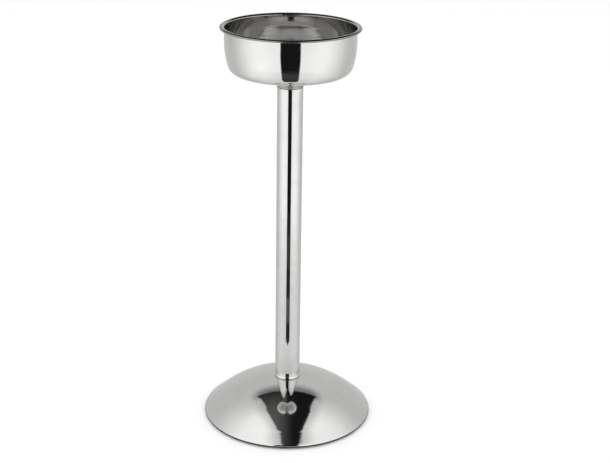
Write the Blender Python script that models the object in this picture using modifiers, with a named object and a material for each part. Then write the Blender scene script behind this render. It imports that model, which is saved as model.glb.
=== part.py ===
"""Floor stand for a champagne bucket.

A spun cup on a tube, on a weighted domed base. Everything is turned about Z.
The origin is the middle of the floor contact, +Z up, units are metres.
"""

import math

import bmesh
import bpy

MM = 0.001

# Driving dimensions
STAND_HEIGHT = 610 * MM
GAP = 0.3 * MM                  # clearance left between pieces that touch
ROUND_STEPS = 48                # facets round the large turned pieces
PLUG_STEPS = 24                 # facets round the plugs and washers
SMALL_STEPS = 16                # facets round the screws

RIM_RADIUS = 101.4 * MM         # outside of the rolled rim
CUP_RADIUS = 95 * MM            # outside of the upper cup wall
CUP_DEPTH = 68.4 * MM           # rim top to the underside of the cup floor
CUP_SHEET = 1.0 * MM
CUP_BELLY_RADIUS = 124 * MM     # slow inward bend of the lower wall
CUP_CORNER_RADIUS = 16 * MM
CUP_BELLY_TOP = 22 * MM         # rim top to where the wall starts to bend in
CUP_RECESS_RADIUS = 14 * MM     # pressed pocket that sinks the screw head
CUP_RECESS_SLOPE = 5 * MM
CUP_RECESS_DEPTH = 8.5 * MM

TUBE_RADIUS = 19.05 * MM        # 1.5 inch tube
TUBE_WALL = 1.2 * MM
TUBE_TOP = 521.5 * MM
FOOT_RADIUS = 20.4 * MM         # flared lip that stands on the dome
FOOT_FLARE_HEIGHT = 3 * MM
FOOT_LIP_HEIGHT = 1 * MM        # upright edge below the flare

FLANGE_TOP_RADIUS = 50 * MM
FLANGE_NECK_RADIUS = 19.3 * MM
FLANGE_NECK_HEIGHT = 3 * MM
SPIGOT_LENGTH = 5 * MM

BASE_RADIUS = 129 * MM
DOME_RADIUS = 172 * MM          # spherical crown
DOME_APEX = 61.5 * MM           # height the crown would reach on the axis
DOME_CROWN_END = 111 * MM       # from here a straight cone runs down to the rounded edge
DOME_SHEET = 1.0 * MM
DOME_SEAT_RADIUS = 20 * MM      # flat under the tube
DOME_EDGE_RADIUS = 3.0 * MM
DOME_LIP_END = 117 * MM         # inner edge of the turned-under lip

PLUG_LENGTH = 26 * MM
PLUG_CHAMFER = 1 * MM

CUP_THREAD_RADIUS = 4 * MM      # M8
BASE_THREAD_RADIUS = 5 * MM     # M10
BASE_BOLT_LENGTH = 70 * MM
PLATE_THREAD_RADIUS = 2 * MM    # M4
HOLE_CLEARANCE = 0.5 * MM       # a clearance hole over its screw, in radius

BALLAST_RADIUS = 98 * MM
BALLAST_THICKNESS = 12 * MM
BALLAST_HUB_RADIUS = 21 * MM
BALLAST_POCKET_RADIUS = 15 * MM
BALLAST_POCKET_DEPTH = 11 * MM

PLATE_RADIUS = 116 * MM
PLATE_SHEET = 1.2 * MM
PLATE_HOLE_RADIUS = 13 * MM
PLATE_SCREW_CIRCLE = 70 * MM
PLATE_SCREWS = 4
PLATE_SCREW_LENGTH = 10 * MM

RING_INNER_RADIUS = 112.6 * MM
RING_OUTER_RADIUS = 125.5 * MM
RING_CORNER = 0.8 * MM
RING_CLAMP = 1.5 * MM           # rubber above the dome's lip

# Heights that follow from them
CUP_UNDERSIDE = STAND_HEIGHT - CUP_DEPTH
CUP_SEAT = CUP_UNDERSIDE + CUP_SHEET
RECESS_FLOOR = CUP_SEAT - CUP_RECESS_DEPTH
DOME_CENTRE = DOME_APEX - DOME_RADIUS
DOME_SEAT = DOME_CENTRE + math.sqrt(DOME_RADIUS ** 2 - DOME_SEAT_RADIUS ** 2)
CROWN_END_HEIGHT = DOME_CENTRE + math.sqrt(DOME_RADIUS ** 2 - DOME_CROWN_END ** 2)
CONE_SLOPE = math.asin(DOME_CROWN_END / DOME_RADIUS)
EDGE_CENTRE_RADIUS = BASE_RADIUS - DOME_EDGE_RADIUS
EDGE_START_RADIUS = EDGE_CENTRE_RADIUS + DOME_EDGE_RADIUS * math.sin(CONE_SLOPE)
EDGE_START_HEIGHT = CROWN_END_HEIGHT - (EDGE_START_RADIUS - DOME_CROWN_END) * math.tan(CONE_SLOPE)
EDGE_CENTRE_HEIGHT = EDGE_START_HEIGHT - DOME_EDGE_RADIUS * math.cos(CONE_SLOPE)
LIP_BOTTOM = EDGE_CENTRE_HEIGHT - DOME_EDGE_RADIUS
RING_SLOT_TOP = LIP_BOTTOM + DOME_SHEET + GAP
RING_TOP = RING_SLOT_TOP + RING_CLAMP
PLATE_BOTTOM = RING_TOP + GAP
BALLAST_BOTTOM = PLATE_BOTTOM + PLATE_SHEET + GAP
BALLAST_TOP = BALLAST_BOTTOM + BALLAST_THICKNESS
TUBE_BOTTOM = DOME_SEAT + GAP
TUBE_BORE = TUBE_RADIUS - TUBE_WALL


# ---------------------------------------------------------------- tools

def clear_scene():
    for item in list(bpy.data.objects):
        bpy.data.objects.remove(item, do_unlink=True)


def new_collection(name):
    collection = bpy.data.collections.new(name)
    bpy.context.scene.collection.children.link(collection)
    return collection


def make_material(name, colour, roughness, metallic):
    material = bpy.data.materials.new(name)
    material.use_nodes = True
    shader = material.node_tree.nodes["Principled BSDF"]
    shader.inputs["Base Color"].default_value = (*colour, 1.0)
    shader.inputs["Roughness"].default_value = roughness
    shader.inputs["Metallic"].default_value = metallic
    return material


def arc(centre, radii, start, end, count):
    """Points on an ellipse arc in the X-Z plane, angles in degrees from +X."""
    points = []
    for step in range(count + 1):
        angle = math.radians(start + (end - start) * step / count)
        x = centre[0] + radii[0] * math.cos(angle)
        z = centre[1] + radii[1] * math.sin(angle)
        points.append((x, z))
    return points


def add_object(name, mesh, collection, material=None):
    item = bpy.data.objects.new(name, mesh)
    collection.objects.link(item)
    if material:
        mesh.materials.append(material)
    return item


def turned(name, profile, collection, material=None, closed=True, sheet=0.0, steps=ROUND_STEPS):
    """Turn a profile of (radius, height) points about Z.

    A closed profile runs down its outer side. An open one is a sheet, whose
    thickness goes to the right of its path, or a solid that starts and ends
    on the axis.
    """
    mesh = bpy.data.meshes.new(name)
    count = len(profile)
    edges = [(i, i + 1) for i in range(count - 1)]
    if closed:
        edges.append((count - 1, 0))
    mesh.from_pydata([(x, 0.0, z) for x, z in profile], edges, [])
    item = add_object(name, mesh, collection, material)
    screw = item.modifiers.new("Turn", "SCREW")
    screw.axis = "Z"
    screw.angle = math.tau
    screw.steps = steps
    screw.render_steps = steps
    screw.use_merge_vertices = True
    screw.merge_threshold = 0.00001
    screw.use_smooth_shade = True
    if sheet:
        solidify = item.modifiers.new("Sheet", "SOLIDIFY")
        solidify.thickness = sheet
        solidify.offset = -1.0
        solidify.use_even_offset = True
    return item


def boolean(item, tool, operation):
    modifier = item.modifiers.new(operation.title(), "BOOLEAN")
    modifier.operation = operation
    modifier.object = tool
    modifier.solver = "EXACT"


def prism(name, collection, sides, radius, bottom, top):
    """Upright prism on the Z axis, its radius to the corners."""
    mesh = bpy.data.meshes.new(name)
    shape = bmesh.new()
    bmesh.ops.create_cone(shape, cap_ends=True, segments=sides, radius1=radius,
                          radius2=radius, depth=top - bottom)
    bmesh.ops.translate(shape, verts=shape.verts, vec=(0, 0, (top + bottom) / 2))
    shape.to_mesh(mesh)
    shape.free()
    return add_object(name, mesh, collection)


def block(name, collection, size, centre):
    mesh = bpy.data.meshes.new(name)
    shape = bmesh.new()
    bmesh.ops.create_cube(shape, size=1.0)
    bmesh.ops.scale(shape, vec=size, verts=shape.verts)
    bmesh.ops.translate(shape, vec=centre, verts=shape.verts)
    shape.to_mesh(mesh)
    shape.free()
    return add_object(name, mesh, collection)


def hide_tool(tool):
    tool.hide_render = True
    tool.display_type = "WIRE"
    return tool


def washer(name, collection, material, bottom, height, bore, radius, steps=PLUG_STEPS):
    top = bottom + height
    profile = [(radius, top), (radius, bottom), (bore, bottom), (bore, top)]
    return turned(name, profile, collection, material, steps=steps)


def lock_washer(name, collection, tools, material, bottom, height, bore, radius):
    """Spring washer: a ring with a slot through it on the +X side."""
    item = washer(name, collection, material, bottom, height, bore, radius)
    slot_width = 1.2 * MM
    reach = radius + 2 * MM
    centre = (reach / 2, 0, bottom + height / 2)
    slot = block(name + "_slot", tools, (reach, slot_width, 3 * height), centre)
    boolean(item, hide_tool(slot), "DIFFERENCE")
    return item


# ---------------------------------------------------------------- top

def cup_profile():
    """Inner face of the cup sheet, from the screw hole out and over the rim."""
    inner_wall = CUP_RADIUS - CUP_SHEET
    hole = CUP_THREAD_RADIUS + HOLE_CLEARANCE
    recess_edge = CUP_RECESS_RADIUS + CUP_RECESS_SLOPE
    points = [
        (hole, RECESS_FLOOR),
        (CUP_RECESS_RADIUS, RECESS_FLOOR),
        (recess_edge, CUP_SEAT),
    ]
    # The corner arc is tangent to the floor and, from inside, to the belly arc.
    belly_radius = CUP_BELLY_RADIUS - CUP_SHEET
    belly_centre = (CUP_RADIUS - CUP_BELLY_RADIUS, STAND_HEIGHT - CUP_BELLY_TOP)
    corner_radius = CUP_CORNER_RADIUS - CUP_SHEET
    corner_height = CUP_SEAT + corner_radius
    drop = belly_centre[1] - corner_height
    span = belly_radius - corner_radius
    corner_centre = (belly_centre[0] + math.sqrt(span ** 2 - drop ** 2), corner_height)
    tangent = -math.degrees(math.asin(drop / span))
    points += arc(corner_centre, (corner_radius, corner_radius), -90, tangent, 4)
    points += arc(belly_centre, (belly_radius, belly_radius), tangent, 0, 2)[1:]
    # The rim leans out of the wall, rolls over and turns back under itself.
    flare_height = 6 * MM
    roll_drop = 2.5 * MM
    curl = 1.8 * MM
    rim_middle = (inner_wall + RIM_RADIUS) / 2
    half_width = (RIM_RADIUS - inner_wall) / 2
    flare_centre = (rim_middle, STAND_HEIGHT - flare_height)
    roll_centre = (rim_middle, STAND_HEIGHT - roll_drop)
    curl_centre = (RIM_RADIUS - curl, STAND_HEIGHT - roll_drop)
    points += arc(flare_centre, (half_width, flare_height), 180, 90, 3)
    points += arc(roll_centre, (half_width, roll_drop), 90, 0, 3)[1:]
    points += arc(curl_centre, (curl, curl), 0, -90, 2)[1:]
    return points


def make_cup(parts, steel):
    # Running out from the axis puts the sheet's thickness under the floor.
    return turned("holder_cup", cup_profile(), parts, steel, closed=False, sheet=CUP_SHEET)


def make_flange(parts, casting):
    """Trumpet-shaped casting between the cup and the tube."""
    neck_bottom = TUBE_TOP + GAP
    neck_top = neck_bottom + FLANGE_NECK_HEIGHT
    top = CUP_UNDERSIDE - GAP
    pocket_floor = RECESS_FLOOR - CUP_SHEET - GAP
    pocket_radius = CUP_RECESS_RADIUS + CUP_SHEET + GAP
    bore = CUP_THREAD_RADIUS + HOLE_CLEARANCE
    spigot_radius = TUBE_BORE - GAP
    spigot_bottom = TUBE_TOP - SPIGOT_LENGTH
    edge_height = 1.2 * MM
    bell_radii = (FLANGE_TOP_RADIUS - FLANGE_NECK_RADIUS, top - edge_height - neck_top)
    bell = arc((FLANGE_TOP_RADIUS, neck_top), bell_radii, 90, 180, 5)
    profile = [(FLANGE_TOP_RADIUS, top)]
    profile += bell
    profile += [
        (FLANGE_NECK_RADIUS, neck_bottom),
        (spigot_radius, neck_bottom),
        (spigot_radius, spigot_bottom),
        (bore, spigot_bottom),
        (bore, pocket_floor),
        (pocket_radius, pocket_floor),
        (pocket_radius + CUP_RECESS_SLOPE, top),
    ]
    return turned("cup_flange", profile, parts, casting)


def make_cup_fastening(parts, tools, steel, zinc):
    """Flat washer, spring washer and socket screw down into the tube's plug."""
    washer_height = 1.5 * MM
    lock_height = 2 * MM
    bore = CUP_THREAD_RADIUS + GAP
    flat_bottom = RECESS_FLOOR + GAP
    lock_bottom = flat_bottom + washer_height + GAP
    head_bottom = lock_bottom + lock_height + GAP
    washer("cup_flat_washer", parts, zinc, flat_bottom, washer_height, bore, 11 * MM)
    lock_washer("cup_lock_washer", parts, tools, zinc, lock_bottom, lock_height, bore, 6.8 * MM)
    head_radius = 7 * MM
    head_height = 3.6 * MM
    socket_radius = 2.9 * MM
    socket_depth = 2.2 * MM
    tip = TUBE_TOP - 24 * MM
    tip_chamfer = 1 * MM
    top = head_bottom + head_height
    profile = arc((0, head_bottom), (head_radius, head_height), 90, 0, 4)
    profile += [
        (CUP_THREAD_RADIUS, head_bottom),
        (CUP_THREAD_RADIUS, tip + tip_chamfer),
        (CUP_THREAD_RADIUS - tip_chamfer, tip),
        (0, tip),
    ]
    screw = turned("cup_screw", profile, parts, steel, closed=False, steps=SMALL_STEPS)
    socket = prism("cup_screw_socket", tools, 6, socket_radius, top - socket_depth, top + 2 * MM)
    boolean(screw, hide_tool(socket), "DIFFERENCE")
    return screw


# ---------------------------------------------------------------- column

def make_tube(parts, steel):
    """Column tube with a flared lip at its foot, sheet thickness inward."""
    flare = FOOT_RADIUS - TUBE_RADIUS
    lip_top = TUBE_BOTTOM + FOOT_LIP_HEIGHT
    profile = [(TUBE_RADIUS, TUBE_TOP)]
    count = 4
    for step in range(count + 1):
        part = step / count
        radius = TUBE_RADIUS + flare * part ** 2
        profile.append((radius, lip_top + FOOT_FLARE_HEIGHT * (1 - part)))
    profile.append((FOOT_RADIUS, TUBE_BOTTOM))
    return turned("column_tube", profile, parts, steel, closed=False, sheet=TUBE_WALL)


def make_plug(name, parts, metal, bottom, thread_radius):
    """Threaded plug pressed into an end of the tube."""
    radius = TUBE_BORE - GAP
    bore = thread_radius + GAP
    top = bottom + PLUG_LENGTH
    profile = [
        (radius - PLUG_CHAMFER, top),
        (radius, top - PLUG_CHAMFER),
        (radius, bottom + PLUG_CHAMFER),
        (radius - PLUG_CHAMFER, bottom),
        (bore, bottom),
        (bore, top),
    ]
    return turned(name, profile, parts, metal, steps=PLUG_STEPS)


# ---------------------------------------------------------------- base

def make_dome(parts, steel):
    """Spherical crown with a flat seat, running on as a straight cone to a rounded edge turned under."""
    hole = BASE_THREAD_RADIUS + HOLE_CLEARANCE
    seat_angle = math.degrees(math.acos(DOME_SEAT_RADIUS / DOME_RADIUS))
    crown_end_angle = math.degrees(math.acos(DOME_CROWN_END / DOME_RADIUS))
    edge_centre = (EDGE_CENTRE_RADIUS, EDGE_CENTRE_HEIGHT)
    edge_radii = (DOME_EDGE_RADIUS, DOME_EDGE_RADIUS)
    profile = [(hole, DOME_SEAT)]
    profile += arc((0, DOME_CENTRE), (DOME_RADIUS, DOME_RADIUS), seat_angle, crown_end_angle, 7)
    profile += arc(edge_centre, edge_radii, crown_end_angle, -90, 4)
    profile.append((DOME_LIP_END, LIP_BOTTOM))
    return turned("base_dome", profile, parts, steel, closed=False, sheet=DOME_SHEET)


def make_floor_ring(parts, rubber):
    """Rubber ring with a slot in its outer side that holds the dome's lip."""
    slot_bottom = LIP_BOTTOM - GAP
    slot_end = DOME_LIP_END - GAP
    upper_radius = DOME_LIP_END + 2.5 * MM
    profile = [
        (upper_radius, RING_TOP),
        (upper_radius, RING_SLOT_TOP),
        (slot_end, RING_SLOT_TOP),
        (slot_end, slot_bottom),
        (RING_OUTER_RADIUS, slot_bottom),
        (RING_OUTER_RADIUS - RING_CORNER / 2, 0),
        (RING_INNER_RADIUS + RING_CORNER, 0),
        (RING_INNER_RADIUS, RING_CORNER),
        (RING_INNER_RADIUS, RING_TOP),
    ]
    return turned("floor_ring", profile, parts, rubber)


def make_ballast(parts, tools, iron):
    """Cast disc whose hub reaches the crown, with a pocket for the bolt head."""
    bore = BASE_THREAD_RADIUS + HOLE_CLEARANCE
    washer_height = 1.5 * MM
    hub_top = DOME_SEAT - DOME_SHEET - washer_height - 2 * GAP
    pocket_top = BALLAST_BOTTOM + BALLAST_POCKET_DEPTH
    fillet = 8 * MM
    draft = 2 * MM
    neck = BALLAST_HUB_RADIUS - draft
    profile = [
        (neck, hub_top),
        (BALLAST_HUB_RADIUS, BALLAST_TOP + fillet),
        (BALLAST_HUB_RADIUS + fillet, BALLAST_TOP),
        (BALLAST_RADIUS - draft, BALLAST_TOP),
        (BALLAST_RADIUS, BALLAST_BOTTOM),
        (BALLAST_POCKET_RADIUS, BALLAST_BOTTOM),
        (BALLAST_POCKET_RADIUS, pocket_top),
        (bore, pocket_top),
        (bore, hub_top),
    ]
    ballast = turned("ballast_weight", profile, parts, iron)
    hole_radius = PLATE_THREAD_RADIUS + GAP
    for x, y in screw_places():
        hole = prism("ballast_hole", tools, 12, hole_radius, BALLAST_BOTTOM - draft,
                     BALLAST_TOP + draft)
        hole.location = (x, y, 0)
        boolean(ballast, hide_tool(hole), "DIFFERENCE")
    washer("hub_washer", parts, iron, hub_top + GAP, washer_height, bore, neck)
    return ballast


def screw_places():
    places = []
    for number in range(PLATE_SCREWS):
        angle = math.tau * (number + 0.5) / PLATE_SCREWS
        x = PLATE_SCREW_CIRCLE * math.cos(angle)
        y = PLATE_SCREW_CIRCLE * math.sin(angle)
        places.append((x, y))
    return places


def make_base_plate(parts, tools, paint):
    """Bottom cover under the ballast, with a hole to reach the bolt."""
    top = PLATE_BOTTOM + PLATE_SHEET
    profile = [
        (PLATE_RADIUS, top),
        (PLATE_RADIUS, PLATE_BOTTOM),
        (PLATE_HOLE_RADIUS, PLATE_BOTTOM),
        (PLATE_HOLE_RADIUS, top),
    ]
    plate = turned("base_plate", profile, parts, paint)
    hole_radius = PLATE_THREAD_RADIUS + HOLE_CLEARANCE
    for x, y in screw_places():
        hole = prism("plate_hole", tools, 12, hole_radius, PLATE_BOTTOM - MM, top + MM)
        hole.location = (x, y, 0)
        boolean(plate, hide_tool(hole), "DIFFERENCE")
    return plate


def make_plate_screws(parts, tools, zinc):
    """Slotted pan-head screws that hold the bottom cover to the ballast."""
    head_top = PLATE_BOTTOM - GAP
    head_height = 2.2 * MM
    head_radius = 3.8 * MM
    slot_width = 1.0 * MM
    slot_depth = 1.0 * MM
    tip = head_top + PLATE_SCREW_LENGTH
    bottom = head_top - head_height
    head = arc((head_radius - 1 * MM, head_top), (1 * MM, head_height), 0, -90, 3)
    profile = [
        (0, tip),
        (PLATE_THREAD_RADIUS, tip),
        (PLATE_THREAD_RADIUS, head_top),
    ]
    profile += head
    profile.append((0, bottom))
    for number, (x, y) in enumerate(screw_places(), start=1):
        name = f"plate_screw_{number}"
        screw = turned(name, profile, parts, zinc, closed=False, steps=SMALL_STEPS)
        screw.location = (x, y, 0)
        size = (3 * head_radius, slot_width, 2 * slot_depth)
        slot = block(name + "_slot", tools, size, (0, 0, bottom))
        slot.location = (x, y, 0)
        boolean(screw, hide_tool(slot), "DIFFERENCE")


def make_base_bolt(parts, tools, zinc):
    """Hex bolt and washers that draw the tube down on the dome."""
    washer_height = 2 * MM
    lock_height = 2.2 * MM
    bore = BASE_THREAD_RADIUS + GAP
    pocket_top = BALLAST_BOTTOM + BALLAST_POCKET_DEPTH
    flat_bottom = pocket_top - GAP - washer_height
    lock_bottom = flat_bottom - GAP - lock_height
    washer("base_flat_washer", parts, zinc, flat_bottom, washer_height, bore, 13 * MM)
    lock_washer("base_lock_washer", parts, tools, zinc, lock_bottom, lock_height, bore, 8.6 * MM)
    head_top = lock_bottom - GAP
    head_height = 6 * MM
    head_corner = 9.2 * MM
    tip = head_top + BASE_BOLT_LENGTH
    tip_chamfer = 1.2 * MM
    overlap = 1 * MM
    profile = [
        (0, tip),
        (BASE_THREAD_RADIUS - tip_chamfer, tip),
        (BASE_THREAD_RADIUS, tip - tip_chamfer),
        (BASE_THREAD_RADIUS, head_top - overlap),
        (0, head_top - overlap),
    ]
    bolt = turned("base_bolt", profile, parts, zinc, closed=False, steps=SMALL_STEPS)
    head = prism("base_bolt_head", tools, 6, head_corner, head_top - head_height, head_top)
    boolean(bolt, hide_tool(head), "UNION")
    return bolt


# ---------------------------------------------------------------- assembly

def main():
    clear_scene()
    parts = new_collection("champagne_bucket_stand")
    tools = new_collection("cutters")

    polished = make_material("polished_stainless", (0.78, 0.78, 0.77), 0.06, 1.0)
    casting = make_material("satin_casting", (0.62, 0.62, 0.61), 0.42, 1.0)
    zinc = make_material("zinc_plated_steel", (0.60, 0.61, 0.62), 0.35, 1.0)
    iron = make_material("cast_iron", (0.05, 0.05, 0.05), 0.75, 0.6)
    paint = make_material("black_paint", (0.03, 0.03, 0.03), 0.55, 0.0)
    rubber = make_material("black_rubber", (0.02, 0.02, 0.02), 0.8, 0.0)

    make_cup(parts, polished)
    make_flange(parts, casting)
    make_cup_fastening(parts, tools, polished, zinc)

    make_tube(parts, polished)
    top_plug_bottom = TUBE_TOP - SPIGOT_LENGTH - GAP - PLUG_LENGTH
    make_plug("tube_top_plug", parts, zinc, top_plug_bottom, CUP_THREAD_RADIUS)
    make_plug("tube_bottom_plug", parts, zinc, TUBE_BOTTOM, BASE_THREAD_RADIUS)

    make_dome(parts, polished)
    make_ballast(parts, tools, iron)
    make_base_bolt(parts, tools, zinc)
    make_base_plate(parts, tools, paint)
    make_plate_screws(parts, tools, zinc)
    make_floor_ring(parts, rubber)


main()
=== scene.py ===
"""Looks of the champagne bucket stand: fine turned meshes, steel and rubber finishes, light tent and camera.

Pieces are written in millimetres, which `make_object` turns into metres. A turned piece is a profile of
(radius, height) points that `spin` turns about Z, and its heights hang on the boxes of the CAD nodes.
Materials, the stage, the lights and the camera are in metres.
"""
import math

import bpy
import numpy as np
from mathutils import Matrix, Vector


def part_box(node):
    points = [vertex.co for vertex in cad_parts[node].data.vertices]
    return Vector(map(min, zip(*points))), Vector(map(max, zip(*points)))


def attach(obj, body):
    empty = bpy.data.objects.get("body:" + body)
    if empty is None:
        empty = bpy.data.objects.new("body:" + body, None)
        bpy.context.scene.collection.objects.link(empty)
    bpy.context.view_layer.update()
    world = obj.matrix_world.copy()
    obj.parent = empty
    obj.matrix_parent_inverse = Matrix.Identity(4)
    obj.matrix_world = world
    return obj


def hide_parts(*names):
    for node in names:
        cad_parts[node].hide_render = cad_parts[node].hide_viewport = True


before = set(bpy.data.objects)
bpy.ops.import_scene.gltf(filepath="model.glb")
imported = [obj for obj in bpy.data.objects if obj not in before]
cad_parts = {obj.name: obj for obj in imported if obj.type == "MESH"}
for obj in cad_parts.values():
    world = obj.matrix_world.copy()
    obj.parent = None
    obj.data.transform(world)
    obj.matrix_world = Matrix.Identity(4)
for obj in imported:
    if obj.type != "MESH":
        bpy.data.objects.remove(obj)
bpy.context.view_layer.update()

METRE = 1000.0              # in millimetres
FINE = 192                  # steps round the large turned pieces
SMALL = 96                  # steps round plugs, washers and the larger screws
BODY = "root"

GAP = 0.3                   # left between pieces that touch
SHEET = 1.0                 # thickness of the cup and the dome
M8_RADIUS, M8_PITCH = 4.0, 1.25
M10_RADIUS, M10_PITCH = 5.0, 1.5
M4_RADIUS, M4_PITCH = 2.0, 0.7
PLATE_SCREWS = [f"plate_screw_{number}" for number in range(1, 5)]


def low(node):
    """Lowest corner of a CAD node, mm."""
    return [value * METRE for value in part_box(node)[0]]


def high(node):
    """Highest corner of a CAD node, mm."""
    return [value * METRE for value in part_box(node)[1]]


def middle_of(node):
    """X and Y of the middle of a CAD node, mm."""
    lowest, highest = low(node), high(node)
    return (lowest[0] + highest[0]) / 2, (lowest[1] + highest[1]) / 2


# ---------------------------------------------------------------- profiles

def arc(centre, radii, start, end, step=6.0):
    """Points on an ellipse arc, angles in degrees from the +radius direction."""
    count = max(2, math.ceil(abs(end - start) / step))
    points = []
    for index in range(count + 1):
        angle = math.radians(start + (end - start) * index / count)
        points.append((centre[0] + radii[0] * math.cos(angle), centre[1] + radii[1] * math.sin(angle)))
    return points


def rounded(corners, closed=False, step=15.0):
    """A polyline of (radius, height, fillet) corners with its corners rounded."""
    points = []
    count = len(corners)
    for index, (x, z, fillet) in enumerate(corners):
        at_end = not closed and index in (0, count - 1)
        if at_end or fillet <= 0:
            points.append((x, z))
            continue
        here = np.array((x, z))
        before = np.array(corners[index - 1][:2]) - here
        after = np.array(corners[(index + 1) % count][:2]) - here
        before_length, after_length = np.linalg.norm(before), np.linalg.norm(after)
        before, after = before / before_length, after / after_length
        half = math.acos(np.clip(before.dot(after), -1, 1)) / 2
        reach = min(fillet / math.tan(half), 0.49 * before_length, 0.49 * after_length)
        radius = reach * math.tan(half)
        middle = (before + after) / np.linalg.norm(before + after)
        centre = here + middle * radius / math.sin(half)
        first = here + before * reach - centre
        last = here + after * reach - centre
        turn = math.atan2(first[0] * last[1] - first[1] * last[0], first.dot(last))
        pieces = max(2, math.ceil(math.degrees(abs(turn)) / step))
        for piece in range(pieces + 1):
            angle = turn * piece / pieces
            points.append((
                centre[0] + first[0] * math.cos(angle) - first[1] * math.sin(angle),
                centre[1] + first[0] * math.sin(angle) + first[1] * math.cos(angle)))
    return points


def sheet(path, thickness):
    """Closed profile of a sheet whose metal lies to the right of its path, with rounded ends."""
    line = np.array(path)
    ahead = np.gradient(line, axis=0)
    ahead /= np.linalg.norm(ahead, axis=1)[:, None]
    right = np.stack([ahead[:, 1], -ahead[:, 0]], axis=1)
    other = line + right * thickness
    half = thickness / 2

    def cap(point, side, along):
        """Half circle from the path's face round the sheet's end to its other face."""
        middle = point + side * half
        ends = []
        for angle in np.radians([30, 60, 90, 120, 150]):
            ends.append(tuple(middle - side * half * math.cos(angle) + along * half * math.sin(angle)))
        return ends

    last_cap = cap(line[-1], right[-1], ahead[-1])
    first_cap = cap(line[0], right[0], -ahead[0])
    return [tuple(p) for p in line] + last_cap + [tuple(p) for p in other[::-1]] + first_cap[::-1]


# ---------------------------------------------------------------- meshes

def smooth_faces(mesh):
    """Shade a mesh smooth, apart from its sharp edges."""
    mesh.shade_smooth()
    mesh.set_sharp_from_angle(angle=math.radians(35))


def make_object(name, points, faces):
    """Object from points in millimetres."""
    mesh = bpy.data.meshes.new(name)
    mesh.from_pydata((np.asarray(points) / METRE).tolist(), [], faces)
    mesh.validate()
    smooth_faces(mesh)
    item = bpy.data.objects.new(name, mesh)
    bpy.context.scene.collection.objects.link(item)
    return item


def spin(name, profile, steps=FINE, closed=True, shape=None):
    """Spin a profile about Z. It runs down its outer side; an open one starts and ends on the axis.

    shape(radius, height, angle), where given, returns the radius at that angle.
    """
    angles = np.arange(steps) * math.tau / steps
    points, rows = [], []
    for radius, height in profile:
        if radius < 1e-6:
            rows.append([len(points)])
            points.append((0.0, 0.0, height))
            continue
        start = len(points)
        for angle in angles:
            reach = shape(radius, height, angle) if shape else radius
            points.append((reach * math.cos(angle), reach * math.sin(angle), height))
        rows.append(list(range(start, start + steps)))
    pairs = list(zip(rows, rows[1:]))
    if closed:
        pairs.append((rows[-1], rows[0]))
    faces = []
    for upper, lower in pairs:
        for index in range(steps):
            after = (index + 1) % steps
            if len(upper) == 1 and len(lower) == 1:
                continue
            if len(upper) == 1:
                faces.append((upper[0], lower[index], lower[after]))
            elif len(lower) == 1:
                faces.append((upper[index], lower[0], upper[after]))
            else:
                faces.append((upper[index], lower[index], lower[after], upper[after]))
    return make_object(name, points, faces)


def cut(item, cutter):
    """Take a cutter away from a piece for good."""
    modifier = item.modifiers.new("Cut", "BOOLEAN")
    modifier.operation = "DIFFERENCE"
    modifier.object = cutter
    modifier.solver = "EXACT"
    graph = bpy.context.evaluated_depsgraph_get()
    mesh = bpy.data.meshes.new_from_object(item.evaluated_get(graph))
    item.modifiers.clear()
    item.data = mesh
    smooth_faces(mesh)
    bpy.data.objects.remove(cutter, do_unlink=True)


def box_cutter(size, centre):
    """Box to cut with, mm."""
    half = np.array(size) / 2
    points = []
    for x in (-1, 1):
        for y in (-1, 1):
            for z in (-1, 1):
                points.append(np.array(centre) + half * (x, y, z))
    faces = [(0, 1, 3, 2), (4, 6, 7, 5), (0, 4, 5, 1), (2, 3, 7, 6), (0, 2, 6, 4), (1, 5, 7, 3)]
    return make_object("cutter", points, faces)


def paint(item, name, values):
    """Give every point of a mesh a value that materials read."""
    item.data.attributes.new(name, "FLOAT", "POINT").data.foreach_set("value", values)


def move(item, x, y):
    """Shift a piece's mesh sideways, mm, so that the object stays at the origin."""
    item.data.transform(Matrix.Translation((x / METRE, y / METRE, 0)))


def finish_piece(item, node, material):
    """Let a piece stand for its CAD node, with its material."""
    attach(item, BODY)
    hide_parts(node)
    item.data.materials.clear()
    item.data.materials.append(material)
    return item


def hexagon(corner_radius):
    """Radius of a hexagon as a function of the angle from one of its corners."""
    def at(angle):
        turn = (angle + math.pi / 6) % (math.pi / 3) - math.pi / 6
        return corner_radius * math.cos(math.pi / 6) / math.cos(math.pi / 6 - abs(turn))
    return at


def thread_rows(radius, pitch, top, bottom):
    """Profile rows down a thread; `threaded` turns them into a helix."""
    rows = math.ceil((top - bottom) / pitch * 6)
    return [(radius, top + (bottom - top) * index / rows) for index in range(rows + 1)]


def threaded(radius, pitch, top, bottom):
    """Radius of a thread with 60 degree flanks, which fades out at both ends."""
    depth = 0.6 * pitch

    def at(height, angle):
        phase = (height / pitch - angle / math.tau) % 1.0
        groove = depth * (1 - abs(2 * phase - 1))
        fade = min(1.0, max(0.0, min(top - height, height - bottom) / pitch))
        return radius - groove * fade
    return at


# ---------------------------------------------------------------- materials

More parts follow.
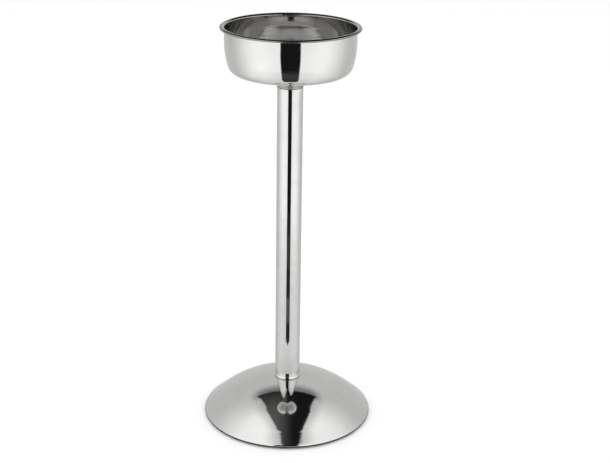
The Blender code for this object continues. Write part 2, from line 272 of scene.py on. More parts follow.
class Nodes:
    """Short forms for building a node tree."""

    def __init__(self, name):
        self.material = bpy.data.materials.new(name)
        self.material.use_nodes = True
        self.tree = self.material.node_tree
        self.shader = self.tree.nodes["Principled BSDF"]

    def add(self, kind, inputs=None, **settings):
        """New node with its inputs linked or set."""
        node = self.tree.nodes.new(kind)
        for key, value in settings.items():
            setattr(node, key, value)
        for key, value in (inputs or {}).items():
            self.put(node.inputs[key], value)
        return node

    def put(self, socket, value):
        """Link a socket to another, or set it."""
        if isinstance(value, bpy.types.NodeSocket):
            self.tree.links.new(value, socket)
        else:
            socket.default_value = value

    def set(self, name, value):
        """Link or set an input of the shader."""
        self.put(self.shader.inputs[name], value)

    def tint(self, value, start, end, first, second):
        """Base colour that runs from one colour to the other as a value goes from start to end."""
        self.set("Base Color", self.blend(self.spread(value, start, end, 0.0, 1.0), first, second))

    def math(self, operation, *values):
        node = self.add("ShaderNodeMath", operation=operation)
        for index, value in enumerate(values):
            self.put(node.inputs[index], value)
        return node.outputs[0]

    def noise(self, vector, scale, detail=3.0, roughness=0.5):
        inputs = {"Vector": vector, "Scale": scale, "Detail": detail, "Roughness": roughness}
        return self.add("ShaderNodeTexNoise", inputs).outputs["Fac"]

    def spread(self, value, low_in, high_in, low_out, high_out):
        """Map one range of values to another, and stop at its ends."""
        inputs = {"Value": value, "From Min": low_in, "From Max": high_in,
                  "To Min": low_out, "To Max": high_out}
        return self.add("ShaderNodeMapRange", inputs).outputs["Result"]

    def blend(self, factor, first, second):
        node = self.add("ShaderNodeMix", data_type="RGBA")
        self.put(node.inputs["Factor"], factor)
        self.put(node.inputs["A"], first)
        self.put(node.inputs["B"], second)
        return node.outputs["Result"]

    def bump(self, height, distance, strength=1.0, normal=None):
        node = self.add("ShaderNodeBump", {"Height": height, "Distance": distance, "Strength": strength})
        if normal:
            self.put(node.inputs["Normal"], normal)
        return node.outputs["Normal"]

    def place(self):
        return self.add("ShaderNodeTexCoord").outputs["Object"]

    def turned_place(self, stretch):
        """Coordinates of a turned surface: its radius, its height, and a little of its angle."""
        split = self.add("ShaderNodeSeparateXYZ", {"Vector": self.place()})
        x, y, z = split.outputs
        radius = self.math("SQRT", self.math("ADD", self.math("MULTIPLY", x, x), self.math("MULTIPLY", y, y)))
        # The sine and cosine of the angle have no seam.
        around = self.math("MULTIPLY", self.math("DIVIDE", x, self.math("MAXIMUM", radius, 0.001)), stretch)
        drift = self.math("MULTIPLY", self.math("DIVIDE", y, self.math("MAXIMUM", radius, 0.001)), stretch)
        joined = self.add("ShaderNodeCombineXYZ", {"X": self.math("ADD", radius, around),
                                                   "Y": self.math("ADD", z, drift), "Z": around})
        return joined.outputs[0]


STEEL = (0.715, 0.712, 0.70, 1)
STEEL_DEEP = (0.66, 0.655, 0.645, 1)            # its darker clouds
# Painted shade: a darker steel for the inside of the cup, standing in for the shade of its hollow.
STEEL_SHADED_INSIDE = (0.60, 0.595, 0.585, 1)            # inside the cup
STEEL_EDGE = (0.30, 0.30, 0.295, 1)             # on the cup's rolled rim


def polished_steel(name, ring_bump, line_bump, dullness):
    """Mirror-polished stainless steel with the faint rings that spinning and buffing leave.

    The mesh attributes "inside" and "edge", where a piece has them, mark an inside painted darker as shade
    and a little rougher from wear, and a dull edge.
    """
    n = Nodes(name)
    inside = n.add("ShaderNodeAttribute", attribute_name="inside").outputs["Fac"]
    edge = n.add("ShaderNodeAttribute", attribute_name="edge").outputs["Fac"]
    rings = n.turned_place(0.0015)
    broad = n.noise(rings, 160.0, 2.0)
    fine = n.noise(rings, 1400.0, 2.0)
    cloud = n.noise(n.place(), 22.0, 3.0)
    smear = n.noise(n.place(), 75.0, 4.0)
    steel = n.blend(n.spread(cloud, 0.3, 0.7, 0.0, 1.0), STEEL, STEEL_DEEP)
    # Painted shade: the cup's inside gets a darker steel colour for the shade in its hollow.
    steel = n.blend(inside, steel, STEEL_SHADED_INSIDE)
    n.set("Base Color", n.blend(edge, steel, STEEL_EDGE))
    n.set("Metallic", 1.0)
    dull = n.spread(smear, 0.35, 0.75, dullness, dullness + 0.03)
    streak = n.spread(fine, 0.4, 0.8, 0.0, 0.025)
    wear = n.math("ADD", n.math("MULTIPLY", inside, 0.025), n.math("MULTIPLY", edge, 0.15))
    n.set("Roughness", n.math("ADD", n.math("ADD", dull, streak), wear))
    normal = n.bump(broad, ring_bump)
    n.set("Normal", n.bump(fine, line_bump, normal=normal))
    return n.material


def tube_steel(name):
    """Polished tube: long buffing lines and the slight waviness of drawn tube."""
    n = Nodes(name)
    split = n.add("ShaderNodeSeparateXYZ", {"Vector": n.place()})
    x, y, z = split.outputs
    along = n.add("ShaderNodeCombineXYZ", {"X": x, "Y": y, "Z": n.math("MULTIPLY", z, 0.02)}).outputs[0]
    drawn = n.add("ShaderNodeCombineXYZ", {"X": x, "Y": y, "Z": n.math("MULTIPLY", z, 0.25)}).outputs[0]
    fine = n.noise(along, 900.0, 2.0)
    wave = n.noise(drawn, 45.0, 1.0)
    smear = n.noise(n.place(), 60.0, 4.0)
    n.tint(smear, 0.3, 0.7, STEEL, STEEL_DEEP)
    n.set("Metallic", 1.0)
    dull = n.spread(smear, 0.35, 0.75, 0.03, 0.055)
    streak = n.spread(fine, 0.4, 0.8, 0.0, 0.03)
    n.set("Roughness", n.math("ADD", dull, streak))
    normal = n.bump(wave, 0.00006)
    n.set("Normal", n.bump(fine, 0.000008, normal=normal))
    return n.material


def satin_casting(name):
    """Die casting with a satin skin, a fine grain and soft mottling."""
    n = Nodes(name)
    mottle = n.noise(n.place(), 380.0, 4.0)
    grain = n.noise(n.place(), 1500.0, 2.0, 0.7)
    pale, dark = (0.50, 0.50, 0.49, 1), (0.22, 0.22, 0.215, 1)
    n.tint(mottle, 0.35, 0.65, dark, pale)
    n.set("Metallic", 1.0)
    n.set("Roughness", n.spread(mottle, 0.3, 0.7, 0.36, 0.50))
    n.set("Normal", n.bump(grain, 0.0001, 0.7))
    return n.material


def zinc_plate(name):
    """Bright zinc plate, bluish with a faint straw tint, over rolled steel."""
    n = Nodes(name)
    bloom = n.noise(n.place(), 90.0, 3.0)
    spangle = n.add("ShaderNodeTexVoronoi", {"Vector": n.place(), "Scale": 900.0}).outputs["Distance"]
    blue, straw = (0.60, 0.63, 0.66, 1), (0.67, 0.64, 0.56, 1)
    n.tint(bloom, 0.35, 0.7, blue, straw)
    n.set("Metallic", 1.0)
    n.set("Roughness", n.spread(spangle, 0.0, 0.8, 0.24, 0.38))
    n.set("Normal", n.bump(bloom, 0.00005, 0.5))
    return n.material


def cast_iron(name):
    """Sand-cast iron dipped in black paint."""
    n = Nodes(name)
    sand = n.noise(n.place(), 700.0, 5.0, 0.65)
    patch = n.noise(n.place(), 45.0, 3.0)
    black, brown = (0.028, 0.028, 0.030, 1), (0.07, 0.055, 0.045, 1)
    n.tint(patch, 0.5, 0.8, black, brown)
    n.set("Roughness", n.spread(patch, 0.3, 0.7, 0.6, 0.8))
    n.set("Normal", n.bump(sand, 0.0004, 0.8))
    return n.material


def black_paint(name):
    """Matt powder coat with its orange-peel texture."""
    n = Nodes(name)
    peel = n.noise(n.place(), 650.0, 2.0)
    dust = n.noise(n.place(), 60.0, 5.0, 0.6)
    black, grey = (0.022, 0.022, 0.023, 1), (0.045, 0.045, 0.044, 1)
    n.tint(dust, 0.45, 0.8, black, grey)
    n.set("Roughness", n.spread(dust, 0.3, 0.7, 0.45, 0.62))
    n.set("Normal", n.bump(peel, 0.00012, 0.6))
    return n.material


def black_rubber(name):
    """Moulded rubber: matt, finely grained, a little bloom on it."""
    n = Nodes(name)
    grain = n.noise(n.place(), 1800.0, 2.0, 0.7)
    bloom = n.noise(n.place(), 40.0, 5.0, 0.6)
    black, grey = (0.014, 0.014, 0.014, 1), (0.035, 0.035, 0.034, 1)
    n.tint(bloom, 0.45, 0.8, black, grey)
    n.set("Roughness", n.spread(bloom, 0.3, 0.7, 0.68, 0.85))
    n.set("Normal", n.bump(grain, 0.0001, 0.5))
    return n.material


cup_steel = polished_steel("cup_steel", 0.00005, 0.000010, 0.03)
dome_steel = polished_steel("dome_steel", 0.00004, 0.000008, 0.03)
column_steel = tube_steel("column_steel")
flange_metal = satin_casting("flange_metal")
zinc = zinc_plate("zinc")
iron = cast_iron("iron")
coat = black_paint("coat")
rubber = black_rubber("rubber")


# ---------------------------------------------------------------- cup

def make_cup():
    """Spun cup: sunk middle, flat seat, rounded corner, belly, flared and rolled rim."""
    top = high("holder_cup")[2]
    rim = high("holder_cup")[0]
    hole, recess, slope_end, seat_start, bend = 4.5, 14.0, 19.0, 24.0, 2.2
    recess_floor = low("holder_cup")[2] + SHEET
    seat = recess_floor + 8.5
    wall = 94.0
    belly_radius, belly_top = 123.0, top - 22.0
    corner_radius = 15.0
    flare_height, roll_drop, curl = 3.2, 2.2, 1.6
    rim_middle, rim_half_width = (wall + rim) / 2, (rim - wall) / 2
    straight_end = top - flare_height

    # The corner touches the seat and, from inside, the belly's circle.
    belly_centre = (wall - belly_radius, belly_top)
    drop = belly_top - (seat + corner_radius)
    reach = belly_radius - corner_radius
    corner_centre = (belly_centre[0] + math.sqrt(reach ** 2 - drop ** 2), seat + corner_radius)
    tangent = -math.degrees(math.asin(drop / reach))

    path = rounded([(hole, recess_floor, 0), (recess, recess_floor, bend), (slope_end, seat, bend),
                    (seat_start, seat, 0)])
    path += [(seat_start + (corner_centre[0] - seat_start) * step / 8, seat) for step in range(1, 8)]
    path += arc(corner_centre, (corner_radius, corner_radius), -90, tangent, 4)
    path += arc(belly_centre, (belly_radius, belly_radius), tangent, 0, 1)[1:]
    path += [(wall, belly_top + (straight_end - belly_top) * step / 6) for step in range(1, 6)]
    wall_rows = len(path)
    path += arc((rim_middle, straight_end), (rim_half_width, flare_height), 180, 90, 6)
    flare_rows = len(path)
    path += arc((rim_middle, top - roll_drop), (rim_half_width, roll_drop), 90, 0, 6)[1:]
    path += arc((rim - curl, top - roll_drop), (curl, curl), 0, -115, 12)[1:]
    profile = sheet(path, SHEET)
    cup = spin("cup_shell", profile)

    inside, edge = [], []
    for row in range(len(profile)):
        on_flare, on_roll = wall_rows <= row < flare_rows, flare_rows <= row < len(path)
        inside += [float(row < flare_rows)] * FINE
        edge += [0.5 * on_flare + 1.0 * on_roll] * FINE
    # The inside is marked for painted shade, a darker steel colour, and for a little more roughness.
    paint(cup, "inside", inside)
    paint(cup, "edge", edge)
    return finish_piece(cup, "holder_cup", cup_steel)


def make_flange():
    """Trumpet casting, its edge and neck rounded, with a pocket for the sunk middle of the cup."""
    bottom, top, outer = low("cup_flange")[2], high("cup_flange")[2], high("cup_flange")[0]
    neck, neck_bottom = 19.3, high("column_tube")[2] + GAP
    neck_top = neck_bottom + 3.0
    edge = top - 1.2
    spigot, bore = 17.55, 4.5
    pocket, mouth = 15.3, 20.3
    pocket_floor = low("holder_cup")[2] - GAP
    profile = rounded([(mouth, top, 0.5), (outer, top, 0.5), (outer, edge, 0.4)], step=20)[1:]
    profile += arc((outer, neck_top), (outer - neck, edge - neck_top), 90, 180, 4)[1:]
    profile += rounded([
        (neck, neck_top, 0), (neck, neck_bottom, 0.5), (spigot, neck_bottom, 0.3), (spigot, bottom, 0.6),
        (bore, bottom, 0.5), (bore, pocket_floor, 0.4), (pocket, pocket_floor, 1.5), (mouth, top, 0.6),
        (mouth + 1.2, top, 0)], step=20)[1:]
    flange = spin("flange_casting", profile)
    return finish_piece(flange, "cup_flange", flange_metal)


# ---------------------------------------------------------------- fasteners

def make_washer(node, bore):
    """Flat washer with a rolled outer edge and a sharp bore edge."""
    bottom, top, outer = low(node)[2], high(node)[2], high(node)[0]
    soft, crisp = 0.35, 0.15
    profile = rounded([(outer, top, soft), (outer, bottom, soft), (bore, bottom, crisp),
                       (bore, top, crisp)], True)
    return finish_piece(spin(node + "_ring", profile, SMALL), node, zinc)


def make_lock_washer(node, bore):
    """Spring washer: a split ring whose ends sit one above the other."""
    bottom, top = low(node)[2], high(node)[2]
    outer = max(high(node)[0], high(node)[1])
    rise, corner, steps = 0.3, 0.2, 72
    gap = math.radians(7)
    section = rounded([(outer, top - rise, corner), (outer, bottom, corner), (bore, bottom, corner),
                       (bore, top - rise, corner)], True)
    points, faces = [], []
    for step in range(steps + 1):
        share = step / steps
        angle = gap / 2 + (math.tau - gap) * share
        for radius, height in section:
            points.append((radius * math.cos(angle), radius * math.sin(angle), height + rise * share))
    size = len(section)
    for step in range(steps):
        for index in range(size):
            after = (index + 1) % size
            a, b = step * size + index, step * size + after
            faces.append((a, b, b + size, a + size))
    faces.append(tuple(range(size))[::-1])
    faces.append(tuple(range(steps * size, (steps + 1) * size)))
    ring = make_object(node + "_spring", points, faces)
    return finish_piece(ring, node, zinc)


def make_cup_screw():
    """Button-head screw with a hexagon socket and a rolled thread."""
    tip, top = low("cup_screw")[2], high("cup_screw")[2]
    head, head_height = 7.0, 3.6
    head_bottom = top - head_height
    socket, socket_floor = 2.9, top - 2.2
    crown_start = socket + 0.5
    thread_top, thread_bottom = head_bottom - 2.0, tip + 1.2
    socket_shape = hexagon(socket)
    thread = threaded(M8_RADIUS, M8_PITCH, thread_top, thread_bottom)

    def shape(radius, height, angle):
        if radius == socket:
            return socket_shape(angle)
        if radius == M8_RADIUS and thread_bottom < height < thread_top:
            return thread(height, angle)
        return radius

    profile = [(0, socket_floor - 0.8), (socket * 0.75, socket_floor), (socket, socket_floor)]
    profile += [(socket, top - 0.25), (crown_start - 0.1, top - 0.02)]
    crown = arc((0, head_bottom), (head, head_height), 90, 0, 6)
    profile += [point for point in crown if point[0] > crown_start]
    profile += [(M8_RADIUS + 0.4, head_bottom), (M8_RADIUS, head_bottom - 0.4)]
    profile += thread_rows(M8_RADIUS, M8_PITCH, thread_top, thread_bottom)
    profile += [(M8_RADIUS - 1.0, tip), (0, tip)]
    screw = spin("cup_socket_screw", profile, SMALL, closed=False, shape=shape)
    return finish_piece(screw, "cup_screw", cup_steel)


def make_base_bolt():
    """Hexagon bolt with chamfered head corners, a washer face and a rolled thread."""
    bottom, tip = low("base_bolt")[2], high("base_bolt")[2]
    corner = high("base_bolt")[1]
    chamfer_start = corner * 0.84
    head_top = bottom + 6.0
    washer_face = head_top - 0.4
    thread_top, thread_bottom = tip - 1.4, tip - 28.0
    flats = hexagon(corner)
    thread = threaded(M10_RADIUS, M10_PITCH, thread_top, thread_bottom)

    def shape(radius, height, angle):
        if bottom <= height <= washer_face and radius > M10_RADIUS + 1:
            return min(radius, flats(angle - math.pi / 2))
        if radius == M10_RADIUS and thread_bottom < height < thread_top:
            return thread(height, angle)
        return radius

    profile = [(0, tip), (M10_RADIUS - 1.2, tip)]
    profile += thread_rows(M10_RADIUS, M10_PITCH, thread_top, thread_bottom)
    profile += [(M10_RADIUS, head_top + 0.4), (M10_RADIUS + 0.4, head_top), (chamfer_start, head_top)]
    profile += [(chamfer_start, washer_face), (corner, head_top - 0.9)]
    profile += [(corner, bottom + 1.4), (chamfer_start, bottom + 0.1), (corner * 0.78, bottom)]
    profile += [(corner * 0.4, bottom + 0.25), (0, bottom + 0.25)]
    bolt = spin("base_hex_bolt", profile, SMALL, closed=False, shape=shape)
    return finish_piece(bolt, "base_bolt", zinc)


def make_plate_screws():
    """Slotted pan-head screws, each slot turned its own way."""
    for number, node in enumerate(PLATE_SCREWS, start=1):
        bottom, tip = low(node)[2], high(node)[2]
        head = (high(node)[0] - low(node)[0]) / 2
        head_top = bottom + 2.2
        thread_top, thread_bottom = tip - 0.7, head_top + 0.5
        thread = threaded(M4_RADIUS, M4_PITCH, thread_top, thread_bottom)

        def shape(radius, height, angle):
            if radius == M4_RADIUS and thread_bottom < height < thread_top:
                return thread(height, angle)
            return radius

        profile = [(0, tip), (M4_RADIUS - 0.6, tip)]
        profile += thread_rows(M4_RADIUS, M4_PITCH, thread_top, thread_bottom)
        profile += [(M4_RADIUS, head_top), (head - 0.1, head_top)]
        profile += arc((head - 1.4, head_top - 0.2), (1.4, 2.0), 0, -90, 12)
        profile.append((0, bottom))
        screw = spin(f"cover_screw_{number}", profile, 48, closed=False, shape=shape)
        slot = box_cutter((3 * head, 1.0, 2.0), (0, 0, bottom))
        slot.data.transform(Matrix.Rotation(math.radians(37 * number), 4, "Z"))
        cut(screw, slot)
        move(screw, *middle_of(node))
        finish_piece(screw, node, zinc)


# ---------------------------------------------------------------- column

def make_tube():
    """Polished tube, eased at the top, flared into a thin lip at the foot."""
    bottom, top = low("column_tube")[2], high("column_tube")[2]
    foot = high("column_tube")[0]
    radius, wall, flare_height, lip_height, ease = 19.05, 1.2, 3.0, 1.0, 0.45
    lip_top = bottom + lip_height
    flare_top = lip_top + flare_height
    path = [(radius - ease, top), (radius - 0.14, top - 0.14), (radius, top - ease)]
    path += [(radius, top - ease + (flare_top - top + ease) * step / 24) for step in range(1, 25)]
    for step in range(1, 17):
        share = step / 16
        path.append((radius + (foot - radius) * share ** 2, flare_top - flare_height * share))
    path += [(foot, lip_top - 0.3), (foot, bottom + 0.15), (foot - 0.15, bottom)]
    inner = [(x - wall, z) for x, z in path[:0:-1]]
    tube = spin("column", path + inner + [(radius - wall, top)])
    return finish_piece(tube, "column_tube", column_steel)


def make_plug(node, bore, pitch):
    """Turned plug with a thread cut in its bore and grip rings on its outside."""
    bottom, top, outer = low(node)[2], high(node)[2], high(node)[0]
    root = bore + 0.4           # bottom of the thread's grooves
    chamfer, rings = 1.0, 8
    span = top - bottom - 4.0
    thread = threaded(root, pitch, top, bottom)

    def shape(radius, height, angle):
        return max(bore, thread(height, angle)) if radius == root else radius

    profile = [(outer - chamfer, top), (outer, top - chamfer)]
    for ring in range(rings):
        start = top - 2.0 - span * ring / rings
        profile += [(outer, start), (outer - 0.35, start - 0.4), (outer, start - 0.8)]
    profile += [(outer, bottom + chamfer), (outer - chamfer, bottom), (bore + 1.0, bottom)]
    profile += [(root, height) for _, height in thread_rows(bore, pitch, bottom + 0.6, top - 0.6)]
    profile.append((bore + 1.0, top))
    plug = spin(node + "_turned", profile, SMALL, shape=shape)
    return finish_piece(plug, node, zinc)


# ---------------------------------------------------------------- base

def make_dome():
    """Spherical crown with a flat seat, running on as a straight cone to an edge turned under."""
    lip_bottom = low("base_dome")[2]
    rim = high("base_dome")[0]
    crown, crown_end = 172.0, 111.0
    hole, seat_radius, edge, lip_end = 5.5, 20.0, 3.0, 117.0
    slope = math.asin(crown_end / crown)
    edge_centre = (rim - edge, lip_bottom + edge)
    edge_start = edge_centre[0] + edge * math.sin(slope)
    crown_height = edge_centre[1] + edge * math.cos(slope) + (edge_start - crown_end) * math.tan(slope)
    centre = crown_height - crown * math.cos(slope)
    seat_angle = math.degrees(math.acos(seat_radius / crown))
    seat = centre + crown * math.sin(math.radians(seat_angle))
    path = [(hole + (seat_radius - hole) * step / 5, seat) for step in range(5)]
    path += arc((0, centre), (crown, crown), seat_angle, 90 - math.degrees(slope), 0.75)
    for step in range(1, 9):
        run = (edge_start - crown_end) * step / 8
        path.append((crown_end + run, crown_height - run * math.tan(slope)))
    path += arc(edge_centre, (edge, edge), 90 - math.degrees(slope), -90, 6)[1:]
    path += [(edge_centre[0] + (lip_end - edge_centre[0]) * step / 3, lip_bottom) for step in range(1, 4)]
    dome = spin("dome_shell", sheet(path, SHEET))
    return finish_piece(dome, "base_dome", dome_steel)


def make_floor_ring():
    """Moulded ring that grips the dome's lip, with fine grip grooves on its underside."""
    inner, outer, top = 112.6, high("floor_ring")[0], high("floor_ring")[2]
    lip_bottom = low("base_dome")[2]
    slot_bottom, slot_top = lip_bottom - GAP, lip_bottom + SHEET + GAP
    slot_end, upper, fillet = 116.7, 119.5, 0.2
    grooves, pitch, depth = 4, 1.5, 0.3
    under = []
    for groove in range(grooves):
        start = outer - 1.6 - pitch * groove
        under += [(start, 0, 0), (start - 0.2, depth, 0), (start - 0.5, depth, 0), (start - 0.7, 0, 0)]
    profile = rounded([
        (upper, top, 0.5), (upper, slot_top, fillet), (slot_end, slot_top, fillet),
        (slot_end, slot_bottom, fillet), (outer, slot_bottom, fillet), (outer - 0.4, 0, 0.3), *under,
        (inner + 0.8, 0, 0.4), (inner, 0.8, 0.4), (inner, top, 0.5)], True)
    ring = spin("rubber_ring", profile)
    return finish_piece(ring, "floor_ring", rubber)


def drill(item, radius, bottom, top):
    """Holes for the plate's screws."""
    for node in PLATE_SCREWS:
        drill_bit = spin("cutter", [(0, top), (radius, top), (radius, bottom), (0, bottom)], 32, closed=False)
        move(drill_bit, *middle_of(node))
        cut(item, drill_bit)


def make_ballast():
    """Cast weight with a drafted hub, generous fillets and a pocket for the bolt head."""
    bottom, top, outer = low("ballast_weight")[2], high("ballast_weight")[2], high("ballast_weight")[0]
    neck, hub, bore, pocket = 19.0, 21.0, 5.5, 15.0
    disc_top, pocket_top = bottom + 12.0, bottom + 11.0
    profile = rounded([
        (neck, top, 1.0), (hub, disc_top + 8.0, 4.0), (hub + 8.0, disc_top, 6.0),
        (outer - 2.0, disc_top, 2.5), (outer, bottom, 1.5), (pocket, bottom, 1.0),
        (pocket, pocket_top, 1.0), (bore, pocket_top, 0.4), (bore, top, 0.4)], True)
    weight = spin("cast_weight", profile)
    drill(weight, M4_RADIUS + GAP, bottom - 2, disc_top + 2)
    return finish_piece(weight, "ballast_weight", iron)


def make_base_plate():
    """Painted cover with eased edges and its four screw holes."""
    bottom, top, outer = low("base_plate")[2], high("base_plate")[2], high("base_plate")[0]
    hole = 13.0
    profile = rounded([(outer, top, 0.3), (outer, bottom, 0.5), (hole, bottom, 0.4), (hole, top, 0.3)], True)
    plate = spin("bottom_cover", profile)
    drill(plate, M4_RADIUS + 0.5, bottom - 1, top + 1)
    return finish_piece(plate, "base_plate", coat)


make_cup()
make_flange()
make_cup_screw()
make_washer("cup_flat_washer", 4.3)
make_lock_washer("cup_lock_washer", 4.3)
make_tube()
make_plug("tube_top_plug", M8_RADIUS + GAP, M8_PITCH)
make_plug("tube_bottom_plug", M10_RADIUS + GAP, M10_PITCH)
make_dome()
make_ballast()
make_washer("hub_washer", 5.5)
make_base_bolt()
make_washer("base_flat_washer", 5.3)
make_lock_washer("base_lock_washer", 5.3)
make_base_plate()
make_plate_screws()
make_floor_ring()


# ---------------------------------------------------------------- stage

def stage_object(name, points, faces, material):
    """Object that belongs to the studio, from points in metres."""
    mesh = bpy.data.meshes.new(name)
    mesh.from_pydata(points, [], faces)
    mesh.materials.append(material)
    item = bpy.data.objects.new(name, mesh)
    bpy.context.scene.collection.objects.link(item)
    return item


def reflected_only(item):
    """A reflector that polished metal sees, and that neither lights the floor nor blocks the camera."""
    item.visible_camera = False
    item.visible_diffuse = False
    item.visible_shadow = False
    item.visible_transmission = False


def smooth(value, start, end):
    """0 up to start, 1 from end, and a soft step between them."""
    share = min(1.0, max(0.0, (value - start) / (end - start)))
    return share * share * (3 - 2 * share)


SIDE_LEVEL = 1.28           # brightness of the tent's side walls
BACK_LEVEL = 0.66           # of its grey back
DARK_LEVEL = 0.011          # of the room seen through its openings
SLOT_ANGLE = 16.5           # half width of the slot that the camera looks through, degrees
SLOT_BLUR = 0.7             # half width of its soft edge, degrees
TENT_RADIUS = 0.95
CEILING = 0.85              # height of the tent's top
CORNER = 0.15               # radius between wall and top
EYE_HEIGHT = 0.03           # the opening in the top is drawn as it looks from the base
OPENING_HEIGHT = 1.22       # its sizes are for a flat ceiling this far above EYE_HEIGHT
OPENING_MIDDLE = 0.04       # its middle line lies this far to the right, and leans
OPENING_LEAN = 0.065
OPENING_HALF_WIDTH = 0.425  # at the middle of the tent
OPENING_TAPER = 0.30        # wider to the back, narrower to the camera
TOP_START = 0.3             # least height above EYE_HEIGHT of the top's pattern
SLOT_START = 0.8            # this far to the front, the slot joins the opening
AROUND = 720                # columns of the tent and of the reflected floor


def wall_level(azimuth, elevation):
    """Brightness of the tent's wall, azimuth in degrees either way from the camera."""
    upper = smooth(elevation, 15, 50)
    side = 1 - smooth(azimuth - 16 * upper, 50, 125)
    level = BACK_LEVEL + (SIDE_LEVEL * (1 - 0.05 * upper) - BACK_LEVEL) * side
    return level * (0.93 + 0.07 * smooth(azimuth, 20, 50))


def slot_share(azimuth, half_width):
    """How far a direction lies in the slot: 1 inside it, 0 outside."""
    return 1 - smooth(azimuth, half_width - SLOT_BLUR, half_width + SLOT_BLUR)


def tent_level(x, y, z):
    """Brightness of the tent at a point of it, in metres."""
    azimuth = abs(math.degrees(math.atan2(x, -y)))
    rise = z - EYE_HEIGHT
    elevation = math.degrees(math.atan2(rise, math.hypot(x, y)))
    level = wall_level(azimuth, elevation)
    slot = slot_share(azimuth, SLOT_ANGLE)
    dark = DARK_LEVEL
    if rise > TOP_START:
        # The point seen against a flat ceiling: to the right, to the back, and off the opening's middle.
        scale = OPENING_HEIGHT / rise
        right, back = x * scale, y * scale
        across = abs(right - OPENING_MIDDLE + OPENING_LEAN * back)

        half_width = OPENING_HALF_WIDTH + OPENING_TAPER * back
        half_width += 0.03 * smooth(back, 0.5, 0.62)            # corners at the back
        half_width += 0.042 * smooth(-back, -0.19, 0.0)         # waist
        half_width -= 0.072 * smooth(-back, 0.54, 0.66)         # neck at the front
        in_width = 1 - smooth(across, half_width - 0.02, half_width + 0.03)
        opening = in_width * (1 - smooth(back, 0.62, 0.67))

        # The cloth is darker behind the opening and dims softly towards its sides.
        dim = 0.30 + 0.70 * smooth(back, 0.62, 1.15)
        level *= 1 - (1 - dim) * smooth(back, 0.35, 0.65) * (1 - smooth(across, 0.5, 0.9))
        level *= 1 - 0.35 * smooth(half_width + 0.35 - across, 0.0, 0.35) * smooth(-back, -0.6, -0.1)
        if back < -SLOT_START:
            slot = max(slot, opening)
        else:
            # Through the opening, the left of the room shows as a grey haze.
            slot = opening
            dark += 0.10 * smooth(-back, -0.9, 0.2) * smooth(-right, -0.2, 0.3)
    return level * (1 - slot) + dark * slot


def glow_material(name):
    """Emission whose strength is painted on the mesh."""
    material = bpy.data.materials.new(name)
    material.use_nodes = True
    tree = material.node_tree
    tree.nodes.clear()
    level = tree.nodes.new("ShaderNodeAttribute")
    level.attribute_name = "level"
    glow = tree.nodes.new("ShaderNodeEmission")
    output = tree.nodes.new("ShaderNodeOutputMaterial")
    tree.links.new(level.outputs["Fac"], glow.inputs["Strength"])
    tree.links.new(glow.outputs[0], output.inputs[0])
    material.cycles.emission_sampling = "NONE"
    return material


def grid(name, rows, place, level):
    """A round stage sheet: place(row, turn) gives a point and level(x, y, z) its brightness."""
    points = [place(row, math.tau * column / AROUND) for row in range(rows + 1) for column in range(AROUND)]
    faces = []
    for row in range(rows):
        for column in range(AROUND):
            a, b = row * AROUND + column, row * AROUND + (column + 1) % AROUND
            faces.append((a, b, b + AROUND, a + AROUND))
    item = stage_object(name, points, faces, glow_material(name + "_glow"))
    paint(item, "level", [level(*point) for point in points])
    reflected_only(item)


def make_tent():
    """A round light tent, open at the top and slit towards the camera."""
    wall_bottom, wall_top = -0.02, CEILING - CORNER
    outline = [(TENT_RADIUS, wall_bottom + (wall_top - wall_bottom) * step / 60) for step in range(61)]
    for step in range(1, 13):
        angle = math.radians(90 * step / 12)
        outline.append((TENT_RADIUS - CORNER + CORNER * math.cos(angle), wall_top + CORNER * math.sin(angle)))
    outline += [((TENT_RADIUS - CORNER) * (1 - step / 120), CEILING) for step in range(1, 121)]

    def place(row, turn):
        radius, height = outline[row]
        return radius * math.sin(turn), -radius * math.cos(turn), height

    grid("light_tent", len(outline) - 1, place, tent_level)


def floor_level(x, y, z):
    """Brightness of the floor that the steel reflects: duller round the stand, like the walls farther out."""
    distance = math.hypot(x, y)
    azimuth = abs(math.degrees(math.atan2(x, -y)))
    share = 0.60 + 0.12 * smooth(distance, 0.15, 0.26) + 0.28 * smooth(distance, 0.35, 1.1)
    share += (1 - share) * smooth(azimuth, 50, 120)
    level = wall_level(azimuth, 0) * share
    # The base's own shadow in front of it.
    level *= 1 - 0.95 * (1 - smooth(distance, 0.135, 0.150)) * (1 - smooth(azimuth, 80, 140))
    # The slot's dark strip, which starts some way in front of the base, with two fainter bands across it.
    strip_start = 0.262
    spread = SLOT_ANGLE * smooth(distance, strip_start, 0.285)
    slot = slot_share(azimuth, spread) if distance > strip_start else 0.0
    bands = 0.08 * smooth(distance, 0.35, 0.37) * smooth(-distance, -0.48, -0.46)
    bands += 0.03 * smooth(distance, 0.60, 0.64) * smooth(-distance, -0.84, -0.78)
    return level * (1 - slot) + (DARK_LEVEL + 0.015 + bands) * slot


def make_reflected_floor():
    """The floor that the steel reflects, just above the real one, with closer rows near the base."""
    rows, inner, outer, height = 110, 0.128, TENT_RADIUS + 0.01, 0.0004

    def place(row, turn):
        radius = inner + (outer - inner) * (row / rows) ** 1.5
        return radius * math.sin(turn), -radius * math.cos(turn), height

    grid("reflected_floor", rows, place, floor_level)


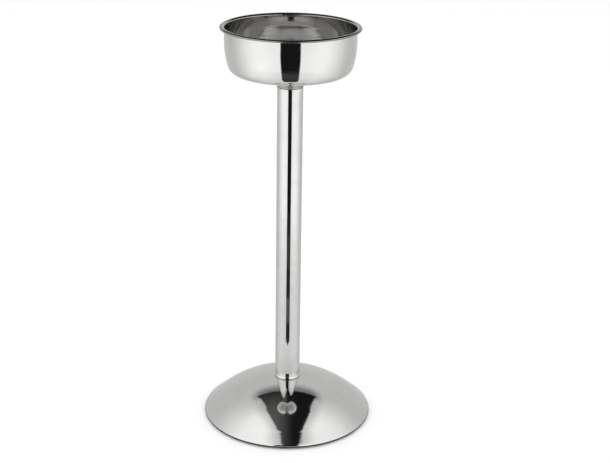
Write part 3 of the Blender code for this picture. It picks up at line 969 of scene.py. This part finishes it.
def make_floor():
    """Plain pale floor."""
    size = 14.0
    points = [(-size, -size, 0), (size, -size, 0), (size, size, 0), (-size, size, 0)]
    material = bpy.data.materials.new("pale_floor")
    material.use_nodes = True
    shader = material.node_tree.nodes["Principled BSDF"]
    shader.inputs["Base Color"].default_value = (0.93, 0.93, 0.93, 1)
    shader.inputs["Roughness"].default_value = 0.9
    shader.inputs["Specular IOR Level"].default_value = 0.1
    stage_object("floor", points, [(0, 1, 2, 3)], material)


def make_light():
    """Even white surround, which the steel doesn't reflect, plus one large soft lamp overhead."""
    world = bpy.data.worlds.new("surround")
    bpy.context.scene.world = world
    world.use_nodes = True
    background = world.node_tree.nodes["Background"]
    background.inputs["Color"].default_value = (1, 1, 1, 1)
    background.inputs["Strength"].default_value = 1.08
    world.cycles_visibility.glossy = False
    lamp = bpy.data.lights.new("overhead_softbox", "AREA")
    lamp.shape = "RECTANGLE"
    lamp.size, lamp.size_y = 2.4, 2.4
    lamp.energy = 8
    lamp_object = bpy.data.objects.new("overhead_softbox", lamp)
    lamp_object.location = (0, 0.9, 2.4)
    lamp_object.rotation_euler = (-Vector(lamp_object.location)).to_track_quat("-Z", "Y").to_euler()
    lamp_object.visible_glossy = False
    bpy.context.scene.collection.objects.link(lamp_object)


def make_camera():
    """Camera in front and above, level with nothing: it looks down on the base and into the cup."""
    place = (0.0004, -1.7857, 0.9702)
    yaw, pitch, roll = math.radians(0.77), math.radians(20.6), math.radians(0.87)
    forward = Vector((math.sin(yaw) * math.cos(pitch), math.cos(yaw) * math.cos(pitch), -math.sin(pitch)))
    level = Vector((math.cos(yaw), -math.sin(yaw), 0))
    upright = level.cross(forward)
    right = level * math.cos(roll) + upright * math.sin(roll)
    up = upright * math.cos(roll) - level * math.sin(roll)
    data = bpy.data.cameras.new("camera")
    data.lens = 74.96
    data.sensor_width = 36.0
    data.sensor_fit = "HORIZONTAL"
    camera = bpy.data.objects.new("camera", data)
    turn = Matrix((right, up, -forward)).transposed()
    camera.matrix_world = Matrix.Translation(place) @ turn.to_4x4()
    bpy.context.scene.collection.objects.link(camera)
    bpy.context.scene.camera = camera


make_floor()
make_tent()
make_reflected_floor()
make_light()
make_camera()
scene = bpy.context.scene
scene.view_settings.view_transform = "Standard"
# Light bounces many times inside the cup before it leaves.
scene.cycles.max_bounces = scene.cycles.glossy_bounces = 32
